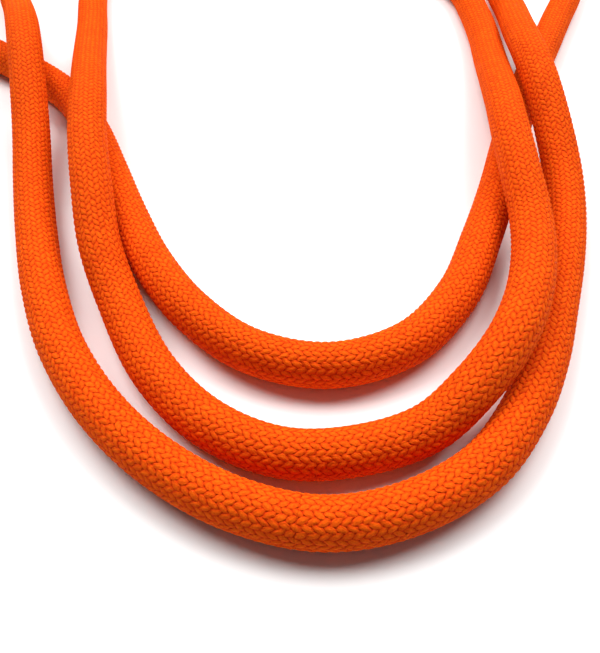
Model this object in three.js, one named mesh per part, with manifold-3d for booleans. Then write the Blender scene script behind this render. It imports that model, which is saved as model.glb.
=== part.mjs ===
// Dynamic climbing rope, 10 m long, laid in three nested bights with the rest of it in a round coil.
// Units are millimetres. +Z is up, the rope lies on z = 0, and the origin is at the middle of the
// footprint. +Y points away from the viewer, from the bights to the coil.

import * as THREE from 'three';
import * as BufferGeometryUtils from 'three/addons/utils/BufferGeometryUtils.js';
import Module from 'manifold-3d';

// ---- Driving dimensions -------------------------------------------------------------------

const ropeLength = 10000;
const ropeRadius = 5;
const touchGap = 0.3;

// Section of the free rope: a woven sheath round eleven core strands and a marker thread.
const sheathSides = 12;
const sheathWall = 1.05;
const outerStrands = 8;
const innerStrands = 3;
const innerCoreRadius = 1.9;
const threadRadius = 0.42;
const routeSteps = 96;

// Ends of the rope: a shrunk sleeve with the fused tip standing a little out of it.
const sleeveLength = 36;
const sleeveWall = 0.6;
const sleeveClearance = 0.35;
const sleeveRun = 14;
const tipLength = 3;
const tipStandOut = 1.3;

// Coil: four layers of a flat spiral, running in, out, in and out again.
const coilCentre = new THREE.Vector2(-14, 148);
const coilInnerRadius = 55;
const coilPitch = 10.7;
const layerPitch = 10.7;
const turnsPerLayer = 4;
const loopSteps = 24;
const loopSides = 6;
const flatCut = 1;
const settleTurns = 0.25;
const endLift = 0.9;

// Hook-and-loop straps round the coil, each in a shallow groove under it.
const strapWidth = 22;
const strapThickness = 1.1;
const strapClearance = 0.35;
const strapFloorGap = 0.2;
const strapSlack = 2;
const strapCorners = 12;

// Route of the free rope, from its first end to the coil. Where one bight crosses another the
// upper one rises over the lower one in a long low hump. On its right side the middle bight then
// leans on the shoulder of the outer one.
const tailToMiddleBight = [
  [-8.5, -8, 6.1], [6.5, -8, 6.1], [21.5, -8, 6.1], [36.5, -8, 5.8], [52.5, -11.5, 5.2],
  [66, -21.5, 5], [73, -37, 5], [75, -55, 5], [75, -73, 6], [73.5, -91, 8], [71.5, -110, 11.5],
  [69.5, -128, 15], [68, -145, 16.3], [67.8, -160, 15], [67.8, -173, 13], [65.5, -186.5, 13.2],
  [61.3, -199.5, 13.6], [55.5, -210.3, 13], [48, -219, 10.2], [38.5, -226.2, 6.2],
  [25, -230.5, 5], [10, -231, 5], [-4.5, -224.5, 5], [-17, -211.5, 5], [-27.5, -192, 6],
  [-33.5, -178, 9.5], [-37.5, -162, 14], [-41.3, -145, 16.3], [-44.8, -126, 16.3],
  [-48.9, -107, 13.4], [-53, -88, 9.5], [-57, -68, 6.4], [-61, -48, 5], [-63.5, -29, 5],
  [-61.5, -11.5, 5], [-51.5, 1.5, 5], [-36, 8.5, 5], [-12, 11, 5],
];
const outerBight = [
  [20, 11.5, 5], [44, 10, 5], [64.5, 4, 5], [79.5, -7.5, 5], [86, -25, 5.2], [86, -44, 7],
  [85, -65, 10], [82.5, -85, 14], [81.3, -104, 16.6], [81.5, -120, 15.8], [82.6, -134, 11.5],
  [83, -148, 7], [81, -162, 5], [76.5, -178, 5], [70.8, -194, 5], [65.2, -208.5, 5],
  [58, -222, 5], [48, -234, 5], [33, -242.5, 5], [17.5, -245.2, 5], [1.5, -241.5, 5],
  [-13.5, -233, 5], [-26.5, -221, 5], [-37.5, -205.5, 5], [-45.5, -188, 5], [-51.5, -170, 5],
  [-56.5, -152, 6], [-60.5, -134, 9.2], [-63.8, -119, 13.5], [-67.5, -104, 16.9],
  [-72.5, -88, 17], [-79, -71, 12.6], [-86.5, -53, 8], [-93.5, -36, 5.7], [-98.5, -17, 5],
  [-95.5, 2, 5], [-80.5, 16.5, 5], [-58.5, 24.5, 5], [-34.5, 27, 5], [-6.5, 27.2, 5],
];
const innerBightToCoil = [
  [23.5, 27.2, 5], [53.5, 27.2, 5], [81.5, 23.8, 5], [103.5, 14, 5], [116, -2.5, 5],
  [117.7, -21.8, 5], [111.5, -41, 5], [103, -59.5, 5], [94.8, -77.8, 5], [86.3, -96.2, 5],
  [78.7, -115, 5], [71.8, -134, 5], [65.3, -153, 5], [58, -171.5, 5], [49.6, -189.8, 5],
  [37, -204.3, 5], [20, -210.3, 5], [3, -206.5, 5], [-10.7, -195.3, 5], [-21.4, -180.3, 5],
  [-30, -163, 5], [-38, -144.5, 5], [-46, -126.5, 5], [-56, -109.5, 5], [-70, -95.5, 5],
  [-85.5, -84, 5], [-100, -71.5, 5], [-111.5, -56, 5], [-117, -37.5, 5], [-118.5, -17.5, 5],
  [-117.5, 3, 5], [-115.3, 23.5, 5], [-113, 44, 5], [-112, 60, 5],
];

// ---- Sizes that follow from them ----------------------------------------------------------

const boreRadius = (ropeRadius - sheathWall) / Math.cos(Math.PI / outerStrands);
const coreRadius = boreRadius - touchGap;
const sleeveBore = ropeRadius + sleeveClearance;
const sleeveRadius = sleeveBore + sleeveWall;
const coilOuterRadius = coilInnerRadius + turnsPerLayer * coilPitch;
const lowestLayer = ropeRadius - flatCut;
const grooveTop = strapFloorGap + strapThickness + touchGap;
const approachX = coilCentre.x - coilOuterRadius;
const stepAngle = (2 * Math.PI) / loopSteps;
const endRun = sleeveRun + sleeveLength - tipStandOut;

const wasm = await Module();
wasm.setup();

// ---- Materials ----------------------------------------------------------------------------

const surface = (color, roughness, metalness = 0) =>
  new THREE.MeshStandardMaterial({ color, roughness, metalness });
const braid = surface(0xf0500c, 0.8);
const coreYarn = surface(0xf3efe6, 0.7);
const threadYarn = surface(0x2f5fa8, 0.6);
const sleevePlastic = surface(0x1d1d20, 0.45);
const fusedNylon = surface(0x8f2f0a, 0.5);
const strapWebbing = surface(0x26272b, 0.9);

const part = new THREE.Group();

function addPiece(name, geometry, material) {
  const piece = new THREE.Mesh(geometry, material);
  piece.name = name;
  part.add(piece);
  return piece;
}

// ---- Sections -----------------------------------------------------------------------------

function polygonPoints(radius, sides, turn = 0) {
  const points = [];
  for (let i = 0; i < sides; i += 1) {
    const angle = turn + (i / sides) * 2 * Math.PI;
    points.push(new THREE.Vector2(radius * Math.cos(angle), radius * Math.sin(angle)));
  }
  return points;
}

function ringSection(radius, sides, bore, boreSides) {
  const section = new THREE.Shape(polygonPoints(radius, sides));
  section.holes.push(new THREE.Path(polygonPoints(bore, boreSides)));
  return section;
}

// A wedge of the core between two radii, with half the touching gap off each of its sides.
// The outer strands end on straight chords, so each one lies under one side of the bore.
function wedgeSection(index, count, inside, outside, crown) {
  const half = Math.PI / count;
  const middle = (2 * index + 1) * half;
  const inset = touchGap / 2;
  const corner = (radius, side) => {
    const along = Math.sqrt(radius * radius - inset * inset);
    const turn = middle + side * half;
    return new THREE.Vector2(
      along * Math.cos(turn) + side * inset * Math.sin(turn),
      along * Math.sin(turn) - side * inset * Math.cos(turn),
    );
  };
  const points = [corner(inside, -1), corner(outside, -1)];
  if (crown) {
    points.push(new THREE.Vector2(outside * Math.cos(middle), outside * Math.sin(middle)));
  }
  points.push(corner(outside, 1));
  if (inside * Math.sin(half) > touchGap && !crown) {
    points.push(corner(inside, 1));
  }
  return new THREE.Shape(points);
}

// ---- Free rope ----------------------------------------------------------------------------

const coilMouth = new THREE.Vector3(approachX, coilCentre.y - 2 * ropeRadius, ropeRadius);
const straightToCoil = [60, 40, 20].map((back) => [approachX, coilMouth.y - back, ropeRadius]);
const routePoints = [
  ...tailToMiddleBight,
  ...outerBight,
  ...innerBightToCoil,
  ...straightToCoil,
].map((point) => new THREE.Vector3(...point));
routePoints.push(coilMouth.clone().setY(coilMouth.y - touchGap));

const route = new THREE.CatmullRomCurve3(routePoints, false, 'centripetal');
route.arcLengthDivisions = 4000;

const alongRoute = (section) => new THREE.ExtrudeGeometry(section, {
  steps: routeSteps,
  extrudePath: route,
});

function addSheath() {
  const section = ringSection(ropeRadius, sheathSides, boreRadius, outerStrands);
  addPiece('sheath', alongRoute(section), braid);
}

function addCore() {
  let number = 0;
  const addStrand = (section) => {
    number += 1;
    addPiece(`core_strand_${String(number).padStart(2, '0')}`, alongRoute(section), coreYarn);
  };
  for (let i = 0; i < innerStrands; i += 1) {
    const apex = threadRadius + touchGap;
    addStrand(wedgeSection(i, innerStrands, apex, innerCoreRadius, true));
  }
  for (let i = 0; i < outerStrands; i += 1) {
    const inside = (innerCoreRadius + touchGap) / Math.cos(Math.PI / outerStrands);
    addStrand(wedgeSection(i, outerStrands, inside, coreRadius, false));
  }
  const thread = new THREE.Shape(polygonPoints(threadRadius, 3));
  addPiece('marker_thread', alongRoute(thread), threadYarn);
}

// ---- Coil ---------------------------------------------------------------------------------

// A point of the coil by its turn from the left-hand side, clockwise from above.
function coilPoint(turn, radius, height) {
  return new THREE.Vector3(
    coilCentre.x - radius * Math.cos(turn),
    coilCentre.y + radius * Math.sin(turn),
    height,
  );
}

// Turns of the top spiral: it takes what the other layers leave of the rope's length.
function topLayerTurns() {
  const spiral = Math.PI * turnsPerLayer * (coilInnerRadius + coilOuterRadius);
  const innerClimb = Math.PI * (coilInnerRadius - coilPitch / 12);
  const outerClimb = Math.PI * (coilOuterRadius + coilPitch / 12);
  const below = 3 * spiral + 2 * innerClimb + outerClimb;
  const left = ropeLength - route.getLength() - touchGap - 2 * ropeRadius - below - endRun - tipLength;
  const slope = 2 * Math.PI * coilInnerRadius;
  const growth = Math.PI * coilPitch;
  return (Math.sqrt(slope * slope + 4 * growth * left) - slope) / (2 * growth);
}

function polylineLength(points) {
  let sum = 0;
  for (let i = 1; i < points.length; i += 1) {
    sum += points[i].distanceTo(points[i - 1]);
  }
  return sum;
}

// Centreline of the coil: straight for a diameter, four spirals with a climbing half turn
// between each two, and a straight end for the sleeve.
function coilLine(subdivisions) {
  const step = stepAngle / subdivisions;
  const points = [coilMouth.clone()];
  let turn = 0;
  const addTurns = (turns, radiusAt, heightAt) => {
    const sweep = turns * 2 * Math.PI;
    const count = Math.ceil(sweep / step - 1e-3);
    for (let i = 1; i <= count; i += 1) {
      const share = Math.min(1, (i * step) / sweep);
      points.push(coilPoint(turn + share * sweep, radiusAt(share), heightAt(share)));
    }
    turn += sweep;
  };
  points.push(coilPoint(0, coilOuterRadius, ropeRadius));
  for (let layer = 0; layer < 3; layer += 1) {
    const inward = layer % 2 === 0;
    const start = inward ? coilOuterRadius : coilInnerRadius;
    const end = inward ? coilInnerRadius : coilOuterRadius;
    const way = Math.sign(end - start);
    const base = lowestLayer + layer * layerPitch;
    const settled = (share) => Math.min(1, (share * turnsPerLayer) / settleTurns);
    const settle = (share) => (layer === 0 ? flatCut * (1 - settled(share)) : 0);
    addTurns(
      turnsPerLayer,
      (share) => start + (end - start) * share,
      (share) => base + settle(share),
    );
    addTurns(
      0.5,
      (share) => end + way * (coilPitch / 2) * share * (1 - share),
      (share) => base + layerPitch * share * share * (3 - 2 * share),
    );
  }
  const lastTurns = topLayerTurns();
  const top = lowestLayer + 3 * layerPitch;
  addTurns(
    lastTurns,
    (share) => coilInnerRadius + coilPitch * lastTurns * share,
    (share) => top + endLift * THREE.MathUtils.smoothstep(share, 1 - 0.2 / lastTurns, 1),
  );
  const last = points[points.length - 1];
  const heading = new THREE.Vector3(Math.sin(turn), Math.cos(turn), 0);
  points.push(last.clone().addScaledVector(heading, sleeveRun));
  points.push(last.clone().addScaledVector(heading, endRun));
  return { points, heading };
}

// Rings of points round a centreline, each with a corner straight up, closed at both ends.
function tubeGeometry(points, radius, sides) {
  const positions = [];
  const index = [];
  const up = new THREE.Vector3(0, 0, 1);
  points.forEach((point, i) => {
    const before = points[Math.max(0, i - 1)];
    const after = points[Math.min(points.length - 1, i + 1)];
    const along = after.clone().sub(before).normalize();
    const side = new THREE.Vector3().crossVectors(along, up).normalize();
    const over = new THREE.Vector3().crossVectors(side, along);
    for (let j = 0; j < sides; j += 1) {
      const angle = (j / sides) * 2 * Math.PI;
      const corner = point.clone()
        .addScaledVector(over, radius * Math.cos(angle))
        .addScaledVector(side, radius * Math.sin(angle));
      positions.push(corner.x, corner.y, corner.z);
    }
  });
  const ring = (i, j) => i * sides + (j % sides);
  for (let i = 0; i + 1 < points.length; i += 1) {
    for (let j = 0; j < sides; j += 1) {
      index.push(ring(i, j), ring(i, j + 1), ring(i + 1, j));
      index.push(ring(i, j + 1), ring(i + 1, j + 1), ring(i + 1, j));
    }
  }
  const end = points.length - 1;
  for (let j = 1; j + 1 < sides; j += 1) {
    index.push(ring(0, 0), ring(0, j + 1), ring(0, j));
    index.push(ring(end, 0), ring(end, j), ring(end, j + 1));
  }
  const geometry = new THREE.BufferGeometry();
  geometry.setAttribute('position', new THREE.Float32BufferAttribute(positions, 3));
  geometry.setIndex(index);
  return geometry;
}

function toSolid(geometry) {
  const bare = geometry.clone();
  bare.deleteAttribute('normal');
  bare.deleteAttribute('uv');
  const merged = BufferGeometryUtils.mergeVertices(bare, 1e-4);
  return new wasm.Manifold(new wasm.Mesh({
    numProp: 3,
    vertProperties: new Float32Array(merged.attributes.position.array),
    triVerts: new Uint32Array(merged.index.array),
  }));
}

function toGeometry(solid) {
  const mesh = solid.getMesh();
  const geometry = new THREE.BufferGeometry();
  geometry.setAttribute('position', new THREE.BufferAttribute(mesh.vertProperties, 3));
  geometry.setIndex(new THREE.BufferAttribute(mesh.triVerts, 1));
  geometry.computeVertexNormals();
  return geometry;
}

// Least gap between two turns, from centreline points at least a quarter turn apart.
function leastGap(points) {
  let least = Infinity;
  const apart = Math.round(points.length / (4 * turnsPerLayer * 4));
  for (let i = 0; i < points.length; i += 1) {
    for (let j = i + apart; j < points.length; j += 1) {
      least = Math.min(least, points[i].distanceToSquared(points[j]));
    }
  }
  return Math.sqrt(least) - 2 * ropeRadius;
}

// Turned and placed so that its own X runs out from the coil's centre at this turn.
function placeAtTurn(geometry, turn) {
  geometry.rotateZ(Math.PI - turn);
  geometry.translate(coilCentre.x, coilCentre.y, 0);
  return geometry;
}

function addCoil(line, strapTurns) {
  const span = 4 * coilOuterRadius;
  const tube = toSolid(tubeGeometry(line.points, ropeRadius, loopSides));
  const floor = new THREE.BoxGeometry(span, span, ropeRadius);
  floor.translate(coilCentre.x, coilCentre.y, -ropeRadius / 2);
  let coil = tube.subtract(toSolid(floor));
  for (const turn of strapTurns) {
    const groove = new THREE.BoxGeometry(span / 2, strapWidth + 2 * strapClearance, 2 * grooveTop);
    groove.translate(span / 4, 0, 0);
    coil = coil.subtract(toSolid(placeAtTurn(groove, turn)));
  }
  addPiece('rope_coil', toGeometry(coil), braid);
}

// ---- Straps -------------------------------------------------------------------------------

function convexHull(points) {
  const sorted = [...points].sort((a, b) => a.x - b.x || a.y - b.y);
  const chain = (list) => {
    const hull = [];
    for (const point of list) {
      while (hull.length > 1) {
        const a = hull[hull.length - 2];
        const b = hull[hull.length - 1];
        const turn = (b.x - a.x) * (point.y - a.y) - (b.y - a.y) * (point.x - a.x);
        if (turn > 1e-6) {
          break;
        }
        hull.pop();
      }
      hull.push(point);
    }
    hull.pop();
    return hull;
  };
  return [...chain(sorted), ...chain(sorted.reverse())];
}

// Outline that goes tightly round every turn that passes under a strap, no lower than `floor`.
function outlineRound(points, turn, radius, floor) {
  const outward = new THREE.Vector2(-Math.cos(turn), Math.sin(turn));
  const sideways = new THREE.Vector2(-outward.y, outward.x);
  const sections = [];
  for (const point of points) {
    const flat = new THREE.Vector2(point.x, point.y).sub(coilCentre);
    if (flat.dot(outward) > 0 && Math.abs(flat.dot(sideways)) < strapWidth / 2 + strapSlack) {
      for (const corner of polygonPoints(radius, strapCorners, Math.PI / strapCorners)) {
        const low = point.z + corner.y < floor;
        const across = low ? Math.sign(corner.x) * radius : corner.x;
        const height = low ? floor : point.z + corner.y;
        sections.push(new THREE.Vector2(flat.dot(outward) + across, height));
      }
    }
  }
  return convexHull(sections);
}

// Points all along a polyline, a few to each of its straight pieces.
function densePoints(points, share) {
  const dense = [];
  for (let i = 1; i < points.length; i += 1) {
    for (let j = 0; j < share; j += 1) {
      dense.push(points[i - 1].clone().lerp(points[i], j / share));
    }
  }
  return dense;
}

function addStrap(name, points, turn) {
  const inner = ropeRadius + strapClearance;
  const lining = outlineRound(points, turn, inner, strapFloorGap + strapThickness);
  const outside = outlineRound(points, turn, inner + strapThickness, strapFloorGap);
  const section = new THREE.Shape(outside);
  section.holes.push(new THREE.Path(lining));
  const band = new THREE.ExtrudeGeometry(section, { depth: strapWidth, bevelEnabled: false });
  band.translate(0, 0, -strapWidth / 2);
  band.rotateX(Math.PI / 2);
  addPiece(name, placeAtTurn(band, turn), strapWebbing);
}

// ---- Rope ends ----------------------------------------------------------------------------

// `end` is the middle of the rope's cut face and `outward` the way it points.
function addEnd(number, end, outward) {
  const turn = new THREE.Quaternion().setFromUnitVectors(new THREE.Vector3(0, 0, 1), outward);
  const section = ringSection(sleeveRadius, sheathSides, sleeveBore, sheathSides);
  const tube = new THREE.ExtrudeGeometry(section, { depth: sleeveLength, bevelEnabled: false });
  tube.translate(0, 0, tipLength + touchGap - tipStandOut - sleeveLength);
  const sleeve = addPiece(`end_sleeve_${number}`, tube, sleevePlastic);
  const fused = new THREE.CylinderGeometry(ropeRadius - 0.5, ropeRadius, tipLength, sheathSides);
  fused.rotateX(Math.PI / 2);
  fused.translate(0, 0, touchGap + tipLength / 2);
  const tip = addPiece(`end_tip_${number}`, fused, fusedNylon);
  for (const piece of [sleeve, tip]) {
    piece.quaternion.copy(turn);
    piece.position.copy(end);
  }
}

// ---- Assembly -----------------------------------------------------------------------------

const backStrapTurn = Math.PI / 2;
const frontStrapTurn = (3 * Math.PI) / 2;
const coil = coilLine(1);
const fineCoil = coilLine(4);
const underStraps = [...densePoints(coil.points, 16), ...densePoints(fineCoil.points, 4)];

addSheath();
addCore();
addCoil(coil, [frontStrapTurn, backStrapTurn]);
addStrap('coil_strap_front', underStraps, frontStrapTurn);
addStrap('coil_strap_back', underStraps, backStrapTurn);
addEnd(1, route.getPointAt(0), route.getTangentAt(0).negate());
addEnd(2, coil.points[coil.points.length - 1], coil.heading);

const freeLength = route.getLength();
const coiledLength = polylineLength(fineCoil.points);
console.log(`free rope ${freeLength.toFixed(1)} mm, coiled rope ${coiledLength.toFixed(1)} mm`);
console.log(`least gap between turns of the coil ${leastGap(fineCoil.points).toFixed(2)} mm`);

export default part;
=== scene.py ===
"""Looks of a 10 mm dynamic climbing rope: three nested bights on a pale floor, the rest coiled.

Sizes and lines are in millimetres here. What Blender gets is in metres. Both are in the frame of
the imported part: +Z up, and the rope lies on z = 0.
"""

import math

import bpy
import numpy as np
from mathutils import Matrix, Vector


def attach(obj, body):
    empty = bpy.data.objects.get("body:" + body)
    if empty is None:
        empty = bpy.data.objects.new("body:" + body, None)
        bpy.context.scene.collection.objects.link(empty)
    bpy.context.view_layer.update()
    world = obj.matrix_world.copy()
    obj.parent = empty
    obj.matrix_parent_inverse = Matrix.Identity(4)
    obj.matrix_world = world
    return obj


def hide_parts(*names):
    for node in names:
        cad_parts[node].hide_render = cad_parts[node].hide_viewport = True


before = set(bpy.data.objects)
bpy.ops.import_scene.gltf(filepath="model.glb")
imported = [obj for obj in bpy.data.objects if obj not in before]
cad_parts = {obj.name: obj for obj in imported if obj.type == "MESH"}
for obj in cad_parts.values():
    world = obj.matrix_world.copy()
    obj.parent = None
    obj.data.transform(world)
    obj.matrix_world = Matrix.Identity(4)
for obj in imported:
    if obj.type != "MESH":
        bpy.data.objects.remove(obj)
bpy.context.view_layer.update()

MM = 0.001

# ---- Sizes ----------------------------------------------------------------------------------

ROPE_LENGTH = 10000.0
ROPE_RADIUS = 5.0
TOUCH_GAP = 0.3
CORE_BORE = 3.95
LEAST_WALL = 0.4

# Braid: 12 flat strands each way, over one and under one. They show as 24 columns of stitches
# that lean to the right and to the left in turn.
COLUMNS = 24
STITCH = 1.82
STRAND_CROWN = 0.24
STRAND_WEAVE = 0.16
WEAVE_DEPTH = STRAND_WEAVE + STRAND_CROWN
WEAVE_FLATNESS = 0.8
CROWN_POWER = 2.5

# Fine looks of the braid: how far strands stray, in columns and stitches, the rows of fibres on a
# strand and their changes along it, and how much fibres and fuzz stand out.
STRAY = 0.6
FIBRE_ROWS = 7.0
FIBRE_CHANGES = 1.1
FIBRE_BUMP = 0.08
FUZZ_BUMP = 0.07

# Points to a column and to a stitch: fine in the bights, where y is below IN_VIEW_Y, and coarse
# elsewhere. A stretch whose skin would have more than MOST_TRIANGLES is made as two halves.
FINE = 4
COARSE = 2
IN_VIEW_Y = -42.0
MOST_TRIANGLES = 180000

# Core: three yarns in the middle, eight round them and a thin marker thread on the axis. Each row
# of yarns is (how many, distance from the axis, radius, sides).
CORE_YARNS = [(3, 1.0, 0.7, 6), (8, 2.75, 1.02, 8)]
CORE_LAY = 60.0
CORE_RING_STEP = 8
THREAD_RADIUS = 0.25
THREAD_SIDES = 5

# Ends
SLEEVE_LENGTH = 36.0
SLEEVE_RADIUS = 5.95
SLEEVE_BORE = 5.35
SLEEVE_RUN = 14.0
SLEEVE_LIP = 0.25
SLEEVE_SINK = 0.03
SLEEVE_RIPPLE = 0.05
SLEEVE_RINGS = 40
SLEEVE_SIDES = 72
TIP_LENGTH = 3.0
TIP_STAND_OUT = 1.3
SLEEVE_MOUTH = TIP_LENGTH + TOUCH_GAP - TIP_STAND_OUT

# The tip narrows by TIP_SHOULDER (after how much, by how much), turns in over a rounded edge and is
# dished in the middle: (depth below its face, radius).
TIP_SHOULDER = (1.2, 0.15)
TIP_EDGE_IN = 0.4
TIP_ROUNDING = 0.9
TIP_DISH = [(0.0, 2.6), (0.25, 1.2), (0.35, 0.2)]
TIP_UNEVEN = 0.012
TIP_SIDES = 48

# Coil
COIL_CENTRE = (-14.0, 148.0)
COIL_INNER_RADIUS = 55.0
COIL_PITCH = 10.7
LAYER_PITCH = 10.7
TURNS_PER_LAYER = 4
FULL_LAYERS = 3
STEPS_PER_TURN = 240
APPROACH_POINTS = 8
END_RUN_POINTS = 24
FLAT_CUT = 1.0
SETTLE_TURNS = 0.25
CLIMB_TURNS = 0.5
END_LIFT = 0.9
END_LIFT_TURNS = 0.2
COIL_OUTER_RADIUS = COIL_INNER_RADIUS + TURNS_PER_LAYER * COIL_PITCH
COIL_MOUTH = (COIL_CENTRE[0] - COIL_OUTER_RADIUS, COIL_CENTRE[1] - 2 * ROPE_RADIUS, ROPE_RADIUS)

# Straps
STRAP_WIDTH = 22.0
STRAP_THICKNESS = 1.3
STRAP_LINING = 5.2
STRAP_FLOOR_GAP = 0.2
STRAP_TURNS = {"coil_strap_back": math.pi / 2, "coil_strap_front": 3 * math.pi / 2}
STRAP_REACH = 2.0
STRAP_POINTS = 240
STRAP_CIRCLE_POINTS = 72
STRAP_EDGE_POINTS = 7
STRAP_FACE_POINTS = 9
GROOVE_HALF_WIDTH = 12.4
GROOVE_TOP = 1.8
FLAP_SHARE = 0.27
FLAP_THICKNESS = 1.1
FLAP_WIDTH = STRAP_WIDTH - 1.0
FLAP_START_DEPTH = 0.3
WEBBING_RIB = 1.6
WEBBING_PICK = 1.1
WEBBING_DEPTH = 0.25

# Route of the free rope, from its first end to the coil.
TAIL_TO_MIDDLE_BIGHT = [
    (-8.5, -8, 6.1), (6.5, -8, 6.1), (21.5, -8, 6.1), (36.5, -8, 5.8), (52.5, -11.5, 5.2),
    (66, -21.5, 5), (73, -37, 5), (75, -55, 5), (75, -73, 6), (73.5, -91, 8), (71.5, -110, 11.5),
    (69.5, -128, 15), (68, -145, 16.3), (67.8, -160, 15), (67.8, -173, 13), (65.5, -186.5, 13.2),
    (61.3, -199.5, 13.6), (55.5, -210.3, 13), (48, -219, 10.2), (38.5, -226.2, 6.2),
    (25, -230.5, 5), (10, -231, 5), (-4.5, -224.5, 5), (-17, -211.5, 5), (-27.5, -192, 6),
    (-33.5, -178, 9.5), (-37.5, -162, 14), (-41.3, -145, 16.3), (-44.8, -126, 16.3),
    (-48.9, -107, 13.4), (-53, -88, 9.5), (-57, -68, 6.4), (-61, -48, 5), (-63.5, -29, 5),
    (-61.5, -11.5, 5), (-51.5, 1.5, 5), (-36, 8.5, 5), (-12, 11, 5),
]
OUTER_BIGHT = [
    (20, 11.5, 5), (44, 10, 5), (64.5, 4, 5), (79.5, -7.5, 5), (86, -25, 5.2), (86, -44, 7),
    (85, -65, 10), (82.5, -85, 14), (81.3, -104, 16.6), (81.5, -120, 15.8), (82.6, -134, 11.5),
    (83, -148, 7), (81, -162, 5), (76.5, -178, 5), (70.8, -194, 5), (65.2, -208.5, 5),
    (58, -222, 5), (48, -234, 5), (33, -242.5, 5), (17.5, -245.2, 5), (1.5, -241.5, 5),
    (-13.5, -233, 5), (-26.5, -221, 5), (-37.5, -205.5, 5), (-45.5, -188, 5), (-51.5, -170, 5),
    (-56.5, -152, 6), (-60.5, -134, 9.2), (-63.8, -119, 13.5), (-67.5, -104, 16.9),
    (-72.5, -88, 17), (-79, -71, 12.6), (-86.5, -53, 8), (-93.5, -36, 5.7), (-98.5, -17, 5),
    (-95.5, 2, 5), (-80.5, 16.5, 5), (-58.5, 24.5, 5), (-34.5, 27, 5), (-6.5, 27.2, 5),
]
INNER_BIGHT_TO_COIL = [
    (23.5, 27.2, 5), (53.5, 27.2, 5), (81.5, 23.8, 5), (103.5, 14, 5), (116, -2.5, 5),
    (117.7, -21.8, 5), (111.5, -41, 5), (103, -59.5, 5), (94.8, -77.8, 5), (86.3, -96.2, 5),
    (78.7, -115, 5), (71.8, -134, 5), (65.3, -153, 5), (58, -171.5, 5), (49.6, -189.8, 5),
    (37, -204.3, 5), (20, -210.3, 5), (3, -206.5, 5), (-10.7, -195.3, 5), (-21.4, -180.3, 5),
    (-30, -163, 5), (-38, -144.5, 5), (-46, -126.5, 5), (-56, -109.5, 5), (-70, -95.5, 5),
    (-85.5, -84, 5), (-100, -71.5, 5), (-111.5, -56, 5), (-117, -37.5, 5), (-118.5, -17.5, 5),
    (-117.5, 3, 5), (-115.3, 23.5, 5), (-113, 44, 5), (-112, 60, 5),
]
INTO_COIL = [
    (COIL_MOUTH[0], COIL_MOUTH[1] - back, ROPE_RADIUS) for back in (60, 40, 20, TOUCH_GAP)
]

# Pieces of the rope, in order from its first end. Those that end in bight get the fine weave.
FREE_STRETCHES = [
    "sheath_tail",
    "sheath_middle_bight",
    "sheath_first_turn",
    "sheath_outer_bight",
    "sheath_second_turn",
    "sheath_inner_bight",
    "sheath_to_coil",
]
COIL_STRETCHES = [
    "coil_layer_1",
    "coil_climb_1",
    "coil_layer_2",
    "coil_climb_2",
    "coil_layer_3",
    "coil_climb_3",
    "coil_layer_4",
]

# Camera
CAMERA_PLACE = (13.5, -297.5, 121.5)
CAMERA_DOWN = 50.0
CAMERA_LENS = 41.61

# Light, in metres and watts: (name, place, width, power).
FLOOR_HALF_WIDTH = 3.0
LIGHT_AIM = (0.0, -0.12, 0.0)
LIGHTS = [
    ("key_left", (-0.88, 0.74, 1.50), 1.4, 34.0),
    ("key_right", (0.92, 0.74, 1.50), 1.4, 34.0),
    ("fill_above", (0.0, 0.75, 1.80), 1.8, 18.0),
]
WORLD_STRENGTH = 0.08
WHITE = (1.0, 1.0, 1.0)


# ---- Camera, floor and lights ---------------------------------------------------------------

def add_camera():
    data = bpy.data.cameras.new("camera")
    data.sensor_fit = "HORIZONTAL"
    data.sensor_width = 36.0
    data.lens = CAMERA_LENS
    data.clip_start = 0.005
    camera = bpy.data.objects.new("camera", data)
    camera.location = [x * MM for x in CAMERA_PLACE]
    camera.rotation_euler = (math.radians(90.0 - CAMERA_DOWN), 0.0, 0.0)
    bpy.context.scene.collection.objects.link(camera)
    bpy.context.scene.camera = camera


def add_floor(material):
    size = FLOOR_HALF_WIDTH
    corners = [(-size, -size, 0), (size, -size, 0), (size, size, 0), (-size, size, 0)]
    mesh = bpy.data.meshes.new("floor")
    mesh.from_pydata(corners, [], [(0, 1, 2, 3)])
    mesh.materials.append(material)
    floor = bpy.data.objects.new("floor", mesh)
    bpy.context.scene.collection.objects.link(floor)


def add_light(name, place, size, power):
    """A round lamp that points at LIGHT_AIM."""
    data = bpy.data.lights.new(name, "AREA")
    data.shape = "DISK"
    data.size = size
    data.energy = power
    light = bpy.data.objects.new(name, data)
    light.location = place
    way = Vector(LIGHT_AIM) - Vector(place)
    light.rotation_euler = way.to_track_quat("-Z", "Y").to_euler()
    bpy.context.scene.collection.objects.link(light)


def set_world():
    world = bpy.data.worlds.new("studio")
    world.use_nodes = True
    background = world.node_tree.nodes["Background"]
    background.inputs["Color"].default_value = (*WHITE, 1.0)
    background.inputs["Strength"].default_value = WORLD_STRENGTH
    scene = bpy.context.scene
    scene.world = world
    scene.view_settings.view_transform = "Standard"
    scene.view_settings.look = "None"


# ---- Lines in space -------------------------------------------------------------------------

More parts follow.
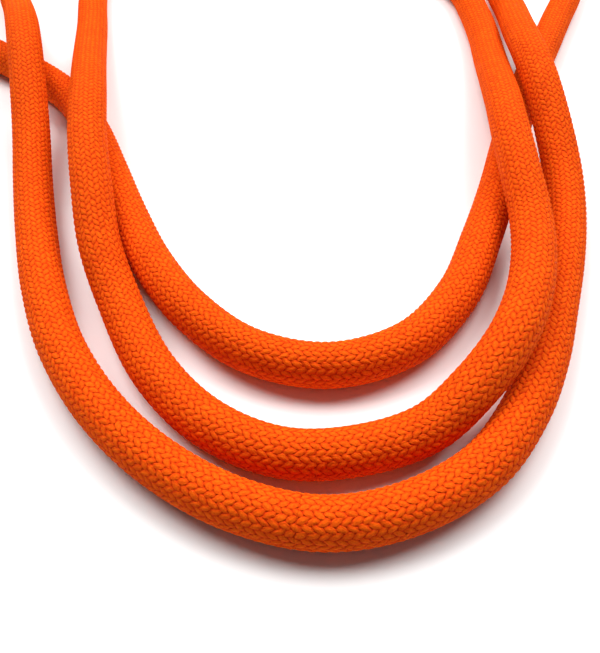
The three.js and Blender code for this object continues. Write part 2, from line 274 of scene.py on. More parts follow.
def smooth_line(points, samples_each=40):
    """A centripetal Catmull-Rom curve through the points, as a dense polyline."""
    points = np.array(points, float)
    first = 2 * points[0] - points[1]
    last = 2 * points[-1] - points[-2]
    p = np.vstack([first, points, last])
    gap = np.linalg.norm(np.diff(p, axis=0), axis=1) ** 0.5
    share = (np.arange(samples_each) / samples_each)[:, None]
    line = []
    for i in range(1, len(p) - 2):
        before, here, after = gap[i - 1], gap[i], gap[i + 1]
        start = (p[i] - p[i - 1]) / before - (p[i + 1] - p[i - 1]) / (before + here)
        start = (start + (p[i + 1] - p[i]) / here) * here
        end = (p[i + 1] - p[i]) / here - (p[i + 2] - p[i]) / (here + after)
        end = (end + (p[i + 2] - p[i + 1]) / after) * here
        cubic = 2 * p[i] - 2 * p[i + 1] + start + end
        square = -3 * p[i] + 3 * p[i + 1] - 2 * start - end
        line.append(p[i] + start * share + square * share**2 + cubic * share**3)
    line.append(points[-1:])
    return np.vstack(line)


def distances(line):
    """How far along a polyline each of its points lies."""
    steps = np.linalg.norm(np.diff(line, axis=0), axis=1)
    return np.concatenate([[0.0], np.cumsum(steps)])


def resample(line, spacing):
    """Points an equal way apart along a polyline, as near to spacing as its length allows."""
    far = distances(line)
    count = max(1, round(far[-1] / spacing))
    at = np.linspace(0.0, far[-1], count + 1)
    return np.stack([np.interp(at, far, line[:, k]) for k in range(3)], axis=1)


def frames_along(line):
    """Two directions square to the line at each point, carried along it without twist."""
    along = np.gradient(line, axis=0)
    along /= np.linalg.norm(along, axis=1)[:, None]
    over = np.zeros_like(line)
    start = np.array([0.0, 0.0, 1.0])
    over[0] = start - along[0] * (start @ along[0])
    over[0] /= np.linalg.norm(over[0])
    for i in range(1, len(line)):
        carried = over[i - 1] - along[i] * (over[i - 1] @ along[i])
        over[i] = carried / np.linalg.norm(carried)
    return over, np.cross(along, over)


def circles(line, frames, angle, radius):
    """Points about each point of a line; radius is one number, or one for each ring and angle."""
    over, side = frames
    out = over[:, None, :] * np.cos(angle)[None, :, None]
    out = out + side[:, None, :] * np.sin(angle)[None, :, None]
    return line[:, None, :] + out * np.asarray(radius)[..., None]


def crossings(line, y):
    """Indexes where the line goes from one side of y to the other."""
    beyond = line[:, 1] > y
    return (np.nonzero(beyond[1:] != beyond[:-1])[0] + 1).tolist()


def every_nth(values, last, step):
    """Every step-th row before the last one, and the last one."""
    return np.vstack([values[:last:step], values[last:last + 1]])


def smoothstep(x, low, high):
    share = np.clip((x - low) / (high - low), 0.0, 1.0)
    return share * share * (3 - 2 * share)


# ---- Coil -----------------------------------------------------------------------------------

def coil_point(turn, radius, height):
    x = COIL_CENTRE[0] - radius * np.cos(turn)
    y = COIL_CENTRE[1] + radius * np.sin(turn)
    return np.stack([x, y, height + 0 * x], axis=-1)


def coil_axes(points, turn):
    """Distance of points from the coil's centre along one turn's radius, and beside it."""
    flat = points[..., :2] - COIL_CENTRE
    out = -flat[..., 0] * math.cos(turn) + flat[..., 1] * math.sin(turn)
    sideways = flat[..., 0] * math.sin(turn) + flat[..., 1] * math.cos(turn)
    return out, sideways


def last_layer_turns(free_length, end_run):
    """Turns of the fourth layer, which takes what the other parts leave of the rope."""
    outer = COIL_OUTER_RADIUS
    spirals = FULL_LAYERS * math.pi * TURNS_PER_LAYER * (COIL_INNER_RADIUS + outer)
    # A climb is half a turn, and swings out by a twelfth of the pitch on average.
    inner_climbs = 2 * math.pi * (COIL_INNER_RADIUS - COIL_PITCH / 12)
    climbs = inner_climbs + math.pi * (outer + COIL_PITCH / 12)
    used = free_length + TOUCH_GAP + 2 * ROPE_RADIUS + spirals + climbs + end_run + TIP_LENGTH
    slope = 2 * math.pi * COIL_INNER_RADIUS
    growth = math.pi * COIL_PITCH
    left = ROPE_LENGTH - used
    return (math.sqrt(slope**2 + 4 * growth * left) - slope) / (2 * growth)


def coil_line(free_length):
    """Centreline of the coil: four spirals, in, out, in and out, and a straight end.

    Also returns the number of points up to the end of each layer and of each climb between two
    layers, and the way that the straight end points.
    """
    outer = COIL_OUTER_RADIUS
    approach = np.linspace(0.0, 2 * ROPE_RADIUS, APPROACH_POINTS)[:, None]
    parts = [approach * [0.0, 1.0, 0.0] + COIL_MOUTH]
    turn = 0.0

    def add(turns, radius_at, height_at):
        nonlocal turn
        count = max(2, round(turns * STEPS_PER_TURN))
        share = np.arange(1, count + 1) / count
        angle = turn + share * turns * 2 * math.pi
        parts.append(coil_point(angle, radius_at(share), height_at(share)))
        turn += turns * 2 * math.pi

    part_ends = []
    for layer in range(FULL_LAYERS):
        start, end = (outer, COIL_INNER_RADIUS) if layer % 2 == 0 else (COIL_INNER_RADIUS, outer)
        way = math.copysign(1.0, end - start)
        base = ROPE_RADIUS - FLAT_CUT + layer * LAYER_PITCH
        settle = FLAT_CUT if layer == 0 else 0.0

        def sinking(s, settle=settle):
            return settle * (1 - np.minimum(1, s * TURNS_PER_LAYER / SETTLE_TURNS))

        add(
            TURNS_PER_LAYER,
            lambda s, a=start, b=end: a + (b - a) * s,
            lambda s, z=base, sink=sinking: z + sink(s),
        )
        part_ends.append(sum(len(p) for p in parts))
        add(
            CLIMB_TURNS,
            lambda s, b=end, w=way: b + w * COIL_PITCH / 2 * s * (1 - s),
            lambda s, z=base: z + LAYER_PITCH * smoothstep(s, 0, 1),
        )
        part_ends.append(sum(len(p) for p in parts))
    end_run = SLEEVE_RUN + SLEEVE_LENGTH - TIP_STAND_OUT
    last_turns = last_layer_turns(free_length, end_run)
    top = ROPE_RADIUS - FLAT_CUT + FULL_LAYERS * LAYER_PITCH
    add(
        last_turns,
        lambda s: COIL_INNER_RADIUS + COIL_PITCH * last_turns * s,
        lambda s: top + END_LIFT * smoothstep(s, 1 - END_LIFT_TURNS / last_turns, 1),
    )
    heading = np.array([math.sin(turn), math.cos(turn), 0.0])
    straight = np.linspace(0.0, end_run, END_RUN_POINTS)[1:, None]
    parts.append(parts[-1][-1] + straight * heading)
    return np.vstack(parts), part_ends, heading


# ---- Meshes ---------------------------------------------------------------------------------

def make_object(name, points, faces, corner_uv=None, attributes=None):
    """A smooth mesh object from points in millimetres; faces is an array of one face size."""
    mesh = bpy.data.meshes.new(name)
    points = np.asarray(points, np.float32) * MM
    faces = np.asarray(faces, np.int32)
    size = faces.shape[1]
    mesh.vertices.add(len(points))
    mesh.vertices.foreach_set("co", points.ravel())
    mesh.loops.add(faces.size)
    mesh.loops.foreach_set("vertex_index", faces.ravel())
    mesh.polygons.add(len(faces))
    mesh.polygons.foreach_set("loop_start", np.arange(0, faces.size, size, dtype=np.int32))
    mesh.update(calc_edges=True)
    mesh.polygons.foreach_set("use_smooth", np.ones(len(faces), bool))
    if corner_uv is not None:
        layer = mesh.uv_layers.new(name="braid")
        layer.uv.foreach_set("vector", np.asarray(corner_uv, np.float32).ravel())
    for key, values in (attributes or {}).items():
        attribute = mesh.attributes.new(key, "FLOAT", "POINT")
        attribute.data.foreach_set("value", np.asarray(values, np.float32))
    mesh.validate()
    obj = bpy.data.objects.new(name, mesh)
    bpy.context.scene.collection.objects.link(obj)
    return obj


def grid_faces(rows, columns, close_rows=False):
    """Triangles between rows of points, each row a closed ring."""
    i = np.arange(rows if close_rows else rows - 1)[:, None]
    j = np.arange(columns)[None, :]
    after = (i + 1) % rows
    a, b = i * columns + j, i * columns + (j + 1) % columns
    c, d = after * columns + (j + 1) % columns, after * columns + j
    return np.concatenate([
        np.stack([a, b, c], -1).reshape(-1, 3),
        np.stack([a, c, d], -1).reshape(-1, 3),
    ])


def end_caps(rows, columns):
    """Fans of triangles that close the first and the last row."""
    last = (rows - 1) * columns
    caps = [(0, j + 1, j) for j in range(1, columns - 1)]
    caps += [(last, last + j, last + j + 1) for j in range(1, columns - 1)]
    return np.array(caps)


def end_wall(outer, inner):
    """Triangles between a ring of outer points and one of inner points, fewer by a whole factor."""
    per_inner = len(outer) // len(inner)
    wall = []
    for n in range(len(outer)):
        here = inner[n // per_inner]
        after = outer[(n + 1) % len(outer)]
        wall.append((outer[n], here, after))
        if (n + 1) % per_inner == 0:
            wall.append((after, here, inner[(n // per_inner + 1) % len(inner)]))
    return np.array(wall)


def cut_cells(corners, right):
    """Corners of two triangles for each cell a b c d, cut from a to c where right, else b to d."""
    a, b, c, d = corners
    pick = right[..., None, None]
    first = np.where(pick, np.stack([a, b, c], -2), np.stack([a, b, d], -2))
    second = np.where(pick, np.stack([a, c, d], -2), np.stack([b, c, d], -2))
    size = first.shape[-1]
    return np.concatenate([first.reshape(-1, size), second.reshape(-1, size)])


def round_tube(name, line, frames, offset, angle, radius, sides):
    """A yarn at a given offset from the rope's axis, winding round it once every lay."""
    over, side = frames
    turn = angle + distances(line) / CORE_LAY * 2 * math.pi
    centre = line + offset * (over * np.cos(turn)[:, None] + side * np.sin(turn)[:, None])
    skin = circles(centre, frames, np.arange(sides) / sides * 2 * math.pi, radius)
    faces = np.concatenate([grid_faces(len(line), sides), end_caps(len(line), sides)])
    return make_object(name, skin.reshape(-1, 3), faces)


def turned_piece(name, profile, end, outward, sides, closed, uneven=0.0):
    """A piece turned about the rope's axis; profile is (distance outward, radius) points."""
    outward = np.array(outward, float)
    over = np.cross(outward, [0.0, 0.0, 1.0])
    over /= np.linalg.norm(over)
    side = np.cross(outward, over)
    angle = np.arange(sides) / sides * 2 * math.pi
    ripple = 1 + uneven * (np.cos(3 * angle + 1) + 0.6 * np.cos(5 * angle + 2))
    points = []
    for along, radius in profile:
        around = over * np.cos(angle)[:, None] + side * np.sin(angle)[:, None]
        points.append(np.array(end) + outward * along + around * (radius * ripple)[:, None])
    faces = grid_faces(len(profile), sides, closed)
    if not closed:
        faces = np.concatenate([faces, end_caps(len(profile), sides)])
    return make_object(name, np.vstack(points), faces)


def arc(centre_along, centre_radius, radius, start, end, count=6):
    """Profile points on part of a circle, with angles in degrees from the outward way."""
    points = []
    for angle in np.radians(np.linspace(start, end, count)):
        along = centre_along + radius * math.cos(angle)
        points.append((along, centre_radius + radius * math.sin(angle)))
    return points


# ---- Woven rope -----------------------------------------------------------------------------

def braid_height(column, stitch):
    """Height of the woven surface, from 0 in the deepest gap to 1 on a strand's crown."""
    wave = np.cos(math.pi * column)
    weave = np.sign(wave) * np.abs(wave) ** WEAVE_FLATNESS

    def crown(across):
        off = np.abs(across - np.round(across))
        return 1 - (2 * off) ** CROWN_POWER

    one_way = STRAND_WEAVE * weave + STRAND_CROWN * crown(stitch - column / 2)
    other_way = -STRAND_WEAVE * weave + STRAND_CROWN * crown(stitch + column / 2)
    return np.maximum(one_way, other_way) / WEAVE_DEPTH


def lowest_skin(points):
    """How low the rope's skin may go: the floor, or the top of a strap's groove in the coil."""
    lowest = np.zeros(points.shape[:-1])
    for turn in STRAP_TURNS.values():
        out, sideways = coil_axes(points, turn)
        lowest[(out > 0) & (np.abs(sideways) < GROOVE_HALF_WIDTH)] = GROOVE_TOP
    return lowest


def braid_tube(name, line, frames, first_stitch, fineness):
    """A hollow woven tube along part of a line, with closed walls at both ends.

    fineness is the number of points to a column and to a stitch.
    """
    rings = len(line)
    sides = COLUMNS * fineness
    column = np.arange(sides) / fineness
    stitch = first_stitch + np.arange(rings) / fineness
    height = braid_height(column[None, :], stitch[:, None])
    radius = ROPE_RADIUS - WEAVE_DEPTH + WEAVE_DEPTH * height
    skin = circles(line, frames, column / COLUMNS * 2 * math.pi, radius)
    skin[:, :, 2] = np.maximum(skin[:, :, 2], lowest_skin(skin))
    # Each cell is cut along the way that its column leans.
    i = np.arange(rings - 1)[:, None]
    j = np.arange(sides)[None, :]
    after = (j + 1) % sides
    cells = [i * sides + j, i * sides + after, (i + 1) * sides + after, (i + 1) * sides + j]
    leans_right = np.cos(math.pi * (column + 0.5 / fineness)) > 0
    right = np.broadcast_to(leans_right, (rings - 1, sides))
    woven = cut_cells([cell[..., None] for cell in cells], right).reshape(-1, 3)
    # Corner coordinates: columns round the rope, stitches along it, unbroken at the seam.
    u, v = np.broadcast_arrays(column[None, :], stitch[:-1, None])
    step = 1 / fineness
    places = [(u, v), (u + step, v), (u + step, v + step), (u, v + step)]
    uv = cut_cells([np.stack(place, -1) for place in places], right)
    # Inner wall, a plain tube, and the two end walls that join it to the skin.
    bore_sides = COLUMNS // 2
    keep = np.unique(np.append(np.arange(0, rings, 2 * fineness), rings - 1))
    bore_frames = [directions[keep] for directions in frames]
    bore_angle = np.arange(bore_sides) / bore_sides * 2 * math.pi
    bore = circles(line[keep], bore_frames, bore_angle, CORE_BORE)
    bore[:, :, 2] = np.maximum(bore[:, :, 2], lowest_skin(bore) + LEAST_WALL)
    start = rings * sides
    bore_end = start + (len(keep) - 1) * bore_sides
    ring, bore_ring = np.arange(sides), np.arange(bore_sides)
    inner = start + grid_faces(len(keep), bore_sides)[:, [0, 2, 1]]
    first_wall = end_wall(ring, start + bore_ring)
    last_wall = end_wall((rings - 1) * sides + ring, bore_end + bore_ring)[:, ::-1]
    points = np.concatenate([skin.reshape(-1, 3), bore.reshape(-1, 3)])
    faces = np.concatenate([woven, inner, first_wall, last_wall])
    uv = np.concatenate([uv, np.zeros((3 * (len(faces) - len(woven)), 2))])
    relief = np.concatenate([height.ravel(), np.zeros(len(bore) * bore_sides)])
    return make_object(name, points, faces, uv, {"relief": relief})


def finish_piece(obj, material, node):
    obj.data.materials.append(material)
    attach(obj, "root")
    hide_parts(node)


def add_stretch(name, rope, first, last, fineness, material, node):
    """One woven stretch of the rope between two rings, as a piece of its own."""
    part = slice(first, last + 1, FINE // fineness)
    centre, over, side = (values[part] for values in rope)
    obj = braid_tube(name, centre, (over, side), first / FINE, fineness)
    finish_piece(obj, material, node)
    path = centre[::fineness] * MM
    if (len(centre) - 1) % fineness:
        path = np.vstack([path, centre[-1:] * MM])


def halves(name, first, last, fineness):
    """The stretch as it is, or cut in two where it would have too many triangles."""
    rows = (last - first) * fineness // FINE
    if 2 * COLUMNS * fineness * rows < MOST_TRIANGLES:
        return [(name, first, last)]
    step = FINE // COARSE
    middle = (first + last) // 2 // step * step
    return [(f"{name}_a", first, middle), (f"{name}_b", middle, last)]


def add_stretches(names, marks, rope, material, node):
    """The named stretches between one mark and the next, along the rope."""
    for name, first, last in zip(names, marks[:-1], marks[1:]):
        fineness = FINE if name.endswith("bight") else COARSE
        for part_name, start, end in halves(name, first, last, fineness):
            add_stretch(part_name, rope, start, end, fineness, material, node)


def shared_ring(distance, length, rings):
    """The ring at a distance along the rope that both the fine and the coarse weave have."""
    step = FINE // COARSE
    return step * round(distance / length * (rings - 1) / step)


# ---- Ends -----------------------------------------------------------------------------------

def add_end(number, end, outward, plastic, melted):
    """A shrunk sleeve over the rope's end and the fused tip in its mouth."""
    lip = SLEEVE_LIP
    back = SLEEVE_MOUTH - SLEEVE_LENGTH
    profile = arc(SLEEVE_MOUTH - lip, SLEEVE_RADIUS - lip, lip, 0, 90)
    for share in np.linspace(0.04, 0.96, SLEEVE_RINGS):
        wave = SLEEVE_RIPPLE * math.cos(share * SLEEVE_LENGTH / STITCH * 2 * math.pi)
        along = SLEEVE_MOUTH - share * SLEEVE_LENGTH
        profile.append((along, SLEEVE_RADIUS - SLEEVE_SINK + wave))
    profile += arc(back + lip, SLEEVE_RADIUS - lip, lip, 90, 180)
    profile += [(back, SLEEVE_BORE), (SLEEVE_MOUTH, SLEEVE_BORE)]
    sleeve = turned_piece(f"sleeve_{number}", profile, end, outward, SLEEVE_SIDES, True)
    finish_piece(sleeve, plastic, f"end_sleeve_{number}")
    face = TOUCH_GAP + TIP_LENGTH
    edge = ROPE_RADIUS - TIP_EDGE_IN - TIP_ROUNDING
    shoulder = (TOUCH_GAP + TIP_SHOULDER[0], ROPE_RADIUS - TIP_SHOULDER[1])
    dome = [(TOUCH_GAP, ROPE_RADIUS), shoulder]
    dome += arc(face - TIP_ROUNDING, edge, TIP_ROUNDING, 80, 5)
    dome += [(face - depth, radius) for depth, radius in TIP_DISH]
    tip = turned_piece(f"tip_{number}", dome, end, outward, TIP_SIDES, False, TIP_UNEVEN)
    finish_piece(tip, melted, f"end_tip_{number}")


# ---- Straps ---------------------------------------------------------------------------------

def convex_hull(points):
    points = sorted(set(map(tuple, np.round(points, 4))))

    def chain(ordered):
        hull = []
        for x, y in ordered:
            while len(hull) > 1:
                (ax, ay), (bx, by) = hull[-2:]
                if (bx - ax) * (y - ay) - (by - ay) * (x - ax) > 1e-9:
                    break
                hull.pop()
            hull.append((x, y))
        return hull[:-1]

    return np.array(chain(points) + chain(points[::-1]))


def strap_outline(coil, turn, radius, floor):
    """Section of a band drawn tight round the turns under a strap: (out, height) points."""
    out, sideways = coil_axes(coil, turn)
    under = (out > 0) & (np.abs(sideways) < STRAP_WIDTH / 2 + STRAP_REACH)
    angle = np.arange(STRAP_CIRCLE_POINTS) / STRAP_CIRCLE_POINTS * 2 * math.pi
    x = out[under][:, None] + radius * np.cos(angle)
    z = coil[under][:, 2][:, None] + radius * np.sin(angle)
    low = z < floor
    x = np.where(low, out[under][:, None] + np.sign(np.cos(angle)) * radius, x)
    z = np.where(low, floor, z)
    hull = convex_hull(np.stack([x.ravel(), z.ravel()], -1))
    closed = np.vstack([hull, hull[:1]])
    steps = distances(closed)
    at = np.linspace(0, steps[-1], STRAP_POINTS, endpoint=False)
    return np.stack([np.interp(at, steps, closed[:, k]) for k in range(2)], -1)


def band_section(thickness, width):
    """A rectangle with rounded edges, as (across, off the middle plane) points."""
    half, lip = width / 2, thickness / 2
    section = []
    for centre, start in ((half - lip, -90), (-half + lip, 90)):
        for angle in np.radians(np.linspace(start, start + 180, STRAP_EDGE_POINTS)):
            section.append((centre + lip * math.cos(angle), lip * math.sin(angle)))
    for across in np.linspace(-half + 2 * lip, half - 2 * lip, STRAP_FACE_POINTS):
        section.append((across, -lip))
    return np.array(section)


def band(name, turn, outline, closed, thickness, width):
    """A band of webbing along an outline; the outline is its middle plane, walked upward-out."""
    rows = len(outline)
    ahead = np.roll(outline, -1, 0) if closed else np.vstack([outline[1:], outline[-1:]])
    behind = np.roll(outline, 1, 0) if closed else np.vstack([outline[:1], outline[:-1]])
    along = ahead - behind
    along /= np.linalg.norm(along, axis=1)[:, None]
    normal = np.stack([along[:, 1], -along[:, 0]], -1)
    across, off = band_section(thickness, width).T
    flat = outline[:, None, :] + normal[:, None, :] * off[None, :, None]
    out, height = flat[..., 0], flat[..., 1]
    way_out = np.array([-math.cos(turn), math.sin(turn)])
    way_side = np.array([math.sin(turn), math.cos(turn)])
    xy = out[..., None] * way_out + across[None, :, None] * way_side + COIL_CENTRE
    points = np.concatenate([xy, height[..., None]], -1).reshape(-1, 3)
    columns = len(across)
    faces = grid_faces(rows, columns, closed)
    # Corner coordinates in millimetres: across the band and along it, unbroken at the seam.
    walked = distances(np.vstack([outline, outline[:1]]))
    v = np.repeat(walked[:rows], columns)
    u = np.tile(across, rows)
    corners = np.stack([u, v], -1)[faces.ravel()].reshape(-1, 3, 2)
    wraps = corners[..., 1].max(1) - corners[..., 1].min(1) > walked[-1] / 2
    low = corners[..., 1] < walked[-1] / 2
    past_seam = corners[..., 1] + walked[-1]
    corners[..., 1] = np.where(wraps[:, None] & low, past_seam, corners[..., 1])
    if not closed:
        caps = end_caps(rows, columns)
        faces = np.concatenate([faces, caps])
        corners = np.concatenate([corners, np.zeros((len(caps), 3, 2))])
    return make_object(name, points, faces, corners.reshape(-1, 2))


def add_strap(name, turn, coil, webbing):
    """A strap drawn round the coil and its loose end, pressed flat on the outside of the loop."""
    middle = STRAP_LINING + STRAP_THICKNESS / 2
    floor = STRAP_FLOOR_GAP + STRAP_THICKNESS / 2
    outline = strap_outline(coil, turn, middle, floor)
    loop_name = name.replace("coil_", "")
    loop = band(loop_name, turn, outline, True, STRAP_THICKNESS, STRAP_WIDTH)
    finish_piece(loop, webbing, name)
    over = strap_outline(coil, turn, middle + STRAP_THICKNESS, floor)
    top = over[:, 1] > over[:, 1].max() - FLAP_START_DEPTH
    start = int(np.nonzero(top)[0][0])
    loose = np.roll(over, -start, 0)[:int(STRAP_POINTS * FLAP_SHARE)]
    flap_name = name.replace("coil_strap", "flap")
    flap = band(flap_name, turn, loose, False, FLAP_THICKNESS, FLAP_WIDTH)
    finish_piece(flap, webbing, name)


# ---- Materials ------------------------------------------------------------------------------

class Nodes:
    """A short way to write a material's node tree."""

    def __init__(self, name):
        self.material = bpy.data.materials.new(name)
        self.material.use_nodes = True
        self.tree = self.material.node_tree
        self.shader = self.tree.nodes["Principled BSDF"]

    def add(self, kind, **settings):
        node = self.tree.nodes.new(kind)
        for key, value in settings.items():
            setattr(node, key, value)
        return node

    def link(self, source, target):
        self.tree.links.new(source, target)

    def place(self):
        """Where a point of the surface is, in metres."""
        return self.add("ShaderNodeNewGeometry").outputs["Position"]

    def corner_uv(self):
        """The mesh's corner coordinates, as two outputs."""
        axes = self.add("ShaderNodeSeparateXYZ")
        self.link(self.add("ShaderNodeUVMap", uv_map="braid").outputs["UV"], axes.inputs[0])
        return axes.outputs[0], axes.outputs[1]

    def pair(self, x, y):
        """Two outputs as one vector."""
        node = self.add("ShaderNodeCombineXYZ")
        self.link(x, node.inputs[0])
        self.link(y, node.inputs[1])
        return node.outputs[0]

    def math(self, operation, a, b=0.0):
        node = self.add("ShaderNodeMath", operation=operation)
        for socket, value in zip(node.inputs, (a, b)):
            if isinstance(value, (int, float)):
                socket.default_value = value
            else:
                self.link(value, socket)
        return node.outputs[0]

    def noise(self, vector, scale, detail):
        node = self.add("ShaderNodeTexNoise")
        node.inputs["Scale"].default_value = scale
        node.inputs["Detail"].default_value = detail
        self.link(vector, node.inputs["Vector"])
        return node.outputs["Fac"]

    def ramp(self, factor, stops):
        node = self.add("ShaderNodeValToRGB")
        ramp = node.color_ramp
        while len(ramp.elements) < len(stops):
            ramp.elements.new(0.5)
        for element, (place, color) in zip(ramp.elements, stops):
            element.position = place
            element.color = (*color, 1.0)
        self.link(factor, node.inputs["Fac"])
        return node.outputs["Color"]

    def tint(self, color, by):
        """One colour output multiplied by another."""
        node = self.add("ShaderNodeMix", data_type="RGBA", blend_type="MULTIPLY")
        node.inputs[0].default_value = 1.0
        self.link(color, node.inputs[6])
        self.link(by, node.inputs[7])
        return node.outputs[2]

    def color(self, source):
        self.link(source, self.shader.inputs["Base Color"])

    def bump(self, height, strength, distance):
        node = self.add("ShaderNodeBump")
        node.inputs["Strength"].default_value = strength
        node.inputs["Distance"].default_value = distance
        self.link(height, node.inputs["Height"])
        self.link(node.outputs["Normal"], self.shader.inputs["Normal"])

    def set(self, **values):
        for key, value in values.items():
            self.shader.inputs[key.replace("_", " ")].default_value = value


def braid_material():
    """Dyed orange nylon: bright strands, with painted shade that makes the colour darker and redder
    in the gaps, and fine fibres along them.
    """
    n = Nodes("orange_braid")
    even_column, even_stitch = n.corner_uv()
    place = n.place()
    # Strands stray a little from their even places.
    aside = n.math("SUBTRACT", n.noise(place, scale=420.0, detail=3.0), 0.5)
    column = n.math("ADD", even_column, n.math("MULTIPLY", aside, STRAY))
    ahead = n.math("SUBTRACT", n.noise(place, scale=510.0, detail=3.0), 0.5)
    stitch = n.math("ADD", even_stitch, n.math("MULTIPLY", ahead, STRAY))
    # The same woven height as braid_height gives, worked out again for every point.
    wave = n.math("COSINE", n.math("MULTIPLY", column, math.pi))
    flattened = n.math("POWER", n.math("ABSOLUTE", wave), WEAVE_FLATNESS)
    weave = n.math("MULTIPLY", n.math("SIGN", wave), flattened)
    heights = []
    for way in (1.0, -1.0):
        across = n.math("SUBTRACT", stitch, n.math("MULTIPLY", column, way / 2))
        off = n.math("SUBTRACT", across, n.math("ROUND", across))
        slope = n.math("MULTIPLY", n.math("ABSOLUTE", off), 2.0)
        crown = n.math("SUBTRACT", 1.0, n.math("POWER", slope, CROWN_POWER))
        lift = n.math("MULTIPLY", weave, way * STRAND_WEAVE)
        heights.append(n.math("ADD", lift, n.math("MULTIPLY", crown, STRAND_CROWN)))
    relief = n.math("DIVIDE", n.math("MAXIMUM", *heights), WEAVE_DEPTH)
    in_mesh = n.add("ShaderNodeAttribute", attribute_name="relief").outputs["Fac"]
    missing = n.math("MULTIPLY", n.math("SUBTRACT", relief, in_mesh), WEAVE_DEPTH)
    # Fibres, drawn out along the strand that is on top.
    top_way = n.math("MULTIPLY", n.math("SIGN", weave), 0.5)
    across = n.math("SUBTRACT", stitch, n.math("MULTIPLY", column, top_way))
    fibre_row = n.math("MULTIPLY", across, FIBRE_ROWS)
    fibre_along = n.math("MULTIPLY", n.math("ADD", column, stitch), FIBRE_CHANGES)
    fibres = n.noise(n.pair(fibre_row, fibre_along), scale=1.0, detail=3.0)
    fuzz = n.noise(place, scale=2600.0, detail=2.0)
    patches = n.noise(place, scale=300.0, detail=2.0)
    # Each stitch of a strand takes the light a little differently from the next.
    chance = n.add("ShaderNodeTexWhiteNoise", noise_dimensions="2D")
    n.link(n.pair(n.math("ROUND", column), n.math("ROUND", across)), chance.inputs["Vector"])
    # Painted shade: the colour darkens and turns redder from the strands' crowns down into the gaps
    # between them, following the woven height.
    color = n.ramp(relief, [
        (0.28, (0.58, 0.022, 0.0021)),
        (0.62, (0.88, 0.100, 0.0036)),
        (0.95, (0.93, 0.146, 0.0045)),
    ])
    for source, low, dark, high in (
        (fibres, 0.3, (0.93, 0.82, 0.9), 0.7),
        (chance.outputs["Value"], 0.0, (0.93, 0.84, 0.9), 1.0),
        (patches, 0.35, (0.95, 0.88, 0.9), 0.65),
        (fuzz, 0.38, (0.93, 0.74, 0.82), 0.62),
    ):
        color = n.tint(color, n.ramp(source, [(low, dark), (high, WHITE)]))
    n.color(color)
    n.set(Roughness=0.8, Specular_IOR_Level=0.03, Sheen_Weight=0.03, Sheen_Roughness=0.5)
    n.set(Sheen_Tint=(1.0, 0.30, 0.02, 1.0))
    fibre_height = n.math("MULTIPLY", fibres, FIBRE_BUMP)
    rough = n.math("ADD", fibre_height, n.math("MULTIPLY", fuzz, FUZZ_BUMP))
    n.bump(n.math("ADD", missing, rough), strength=1.0, distance=MM)
    return n.material


def webbing_material():
    """Black woven tape: ribs across its width, crossed by close picks."""
    n = Nodes("strap_webbing")
    across, along = n.corner_uv()
    rib = n.math("COSINE", n.math("MULTIPLY", across, 2 * math.pi / WEBBING_RIB))
    row = n.math("FLOOR", n.math("MULTIPLY", across, 2 / WEBBING_RIB))
    phase = n.math("MULTIPLY", along, 2 * math.pi / WEBBING_PICK)
    pick = n.math("COSINE", n.math("ADD", phase, n.math("MULTIPLY", row, math.pi)))
    weave = n.math("ADD", n.math("MULTIPLY", rib, 0.25), n.math("MULTIPLY", pick, 0.25))
    weave = n.math("ADD", weave, 0.5)
    fuzz = n.noise(n.place(), scale=2200.0, detail=3.0)
    tone = n.math("ADD", n.math("MULTIPLY", weave, 0.7), n.math("MULTIPLY", fuzz, 0.3))
    # Painted shade: the colour is darker in the grooves between ribs and picks, from the same weave
    # height as the bump; the fuzz adds real grain.
    n.color(n.ramp(tone, [(0.2, (0.004, 0.004, 0.005)), (0.8, (0.024, 0.024, 0.027))]))
    n.set(Roughness=0.85, Specular_IOR_Level=0.25)
    n.bump(tone, strength=1.0, distance=WEBBING_DEPTH * MM)
    return n.material


def plain_material(name, color, roughness, scale, depth):
    """A small-grained surface of one colour; depth is the grain's, in metres."""
    n = Nodes(name)
    grain = n.noise(n.place(), scale, detail=3.0)
    dark = tuple(c * 0.85 for c in color)
    n.color(n.ramp(grain, [(0.3, dark), (0.7, color)]))
    n.set(Roughness=roughness)
    n.bump(grain, strength=0.4, distance=depth)
    return n.material


def floor_material():
    n = Nodes("pale_floor")
    grain = n.noise(n.place(), scale=6.0, detail=2.0)
    n.color(n.ramp(grain, [(0.3, (0.94, 0.94, 0.935)), (0.7, (0.96, 0.96, 0.955))]))
    n.set(Roughness=0.85, Specular_IOR_Level=0.2)
    return n.material


# ---- Scene ----------------------------------------------------------------------------------

add_camera()

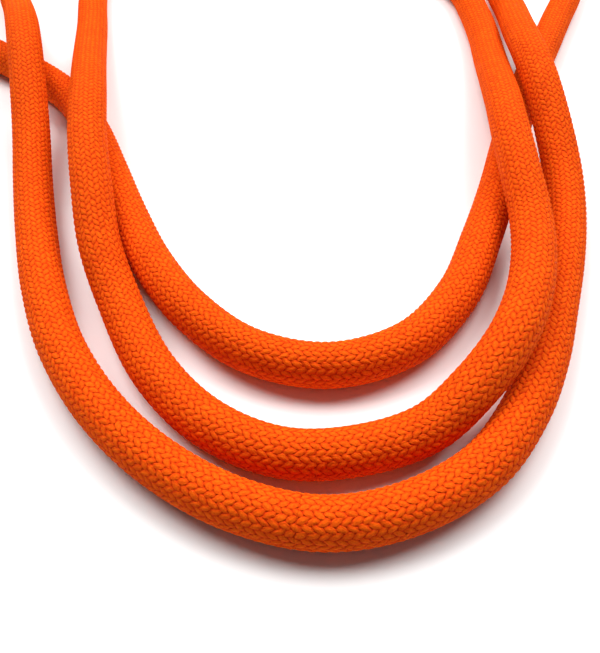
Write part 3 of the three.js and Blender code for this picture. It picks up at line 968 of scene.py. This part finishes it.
# One line of rings for the whole rope, so that its pieces meet without a seam.
route = smooth_line(TAIL_TO_MIDDLE_BIGHT + OUTER_BIGHT + INNER_BIGHT_TO_COIL + INTO_COIL)
route_length = distances(route)[-1]
coil, part_ends, coil_heading = coil_line(route_length)
whole = np.vstack([route, coil])
whole_far = distances(whole)
whole_length = whole_far[-1]
rings = resample(whole, STITCH / FINE)
ring_frames = frames_along(rings)
rope = (rings, *ring_frames)
last_ring = len(rings) - 1

coil_start = shared_ring(route_length, whole_length, len(rings))
bight_ends = [
    shared_ring(whole_length * i / last_ring, whole_length, len(rings))
    for i in crossings(rings[:coil_start + 1], IN_VIEW_Y)
]
layer_ends = [
    shared_ring(whole_far[len(route) + end - 1], whole_length, len(rings)) for end in part_ends
]
orange = braid_material()
free_marks = [0, *bight_ends, coil_start]
add_stretches(FREE_STRETCHES, free_marks, rope, orange, "sheath")
coil_marks = [coil_start, *layer_ends, last_ring]
add_stretches(COIL_STRETCHES, coil_marks, rope, orange, "rope_coil")

core_line = every_nth(rings, coil_start, CORE_RING_STEP)
core_frames = [every_nth(directions, coil_start, CORE_RING_STEP) for directions in ring_frames]
pale_yarn = plain_material(
    "core_yarn", (0.86, 0.84, 0.78), roughness=0.75, scale=900.0, depth=0.0002
)
blue_yarn = plain_material(
    "thread_yarn", (0.05, 0.13, 0.42), roughness=0.7, scale=1200.0, depth=0.0001
)
number = 0
for count, offset, radius, sides in CORE_YARNS:
    for n in range(count):
        number += 1
        name = f"yarn_{number:02d}"
        angle = n / count * 2 * math.pi
        yarn = round_tube(name, core_line, core_frames, offset, angle, radius, sides)
        finish_piece(yarn, pale_yarn, f"core_strand_{number:02d}")
thread = round_tube("thread", core_line, core_frames, 0.0, 0.0, THREAD_RADIUS, THREAD_SIDES)
finish_piece(thread, blue_yarn, "marker_thread")

black = plain_material(
    "black_sleeve", (0.02, 0.02, 0.024), roughness=0.4, scale=500.0, depth=0.00015
)
webbing = webbing_material()
melted = plain_material(
    "fused_nylon", (0.42, 0.055, 0.008), roughness=0.35, scale=700.0, depth=0.0003
)
first_way = rings[0] - rings[1]
add_end(1, rings[0], first_way / np.linalg.norm(first_way), black, melted)
add_end(2, rings[-1], coil_heading, black, melted)
for strap_name, strap_turn in STRAP_TURNS.items():
    add_strap(strap_name, strap_turn, coil, webbing)

add_floor(floor_material())
for light_name, place, width, power in LIGHTS:
    add_light(light_name, place, width, power)
set_world()
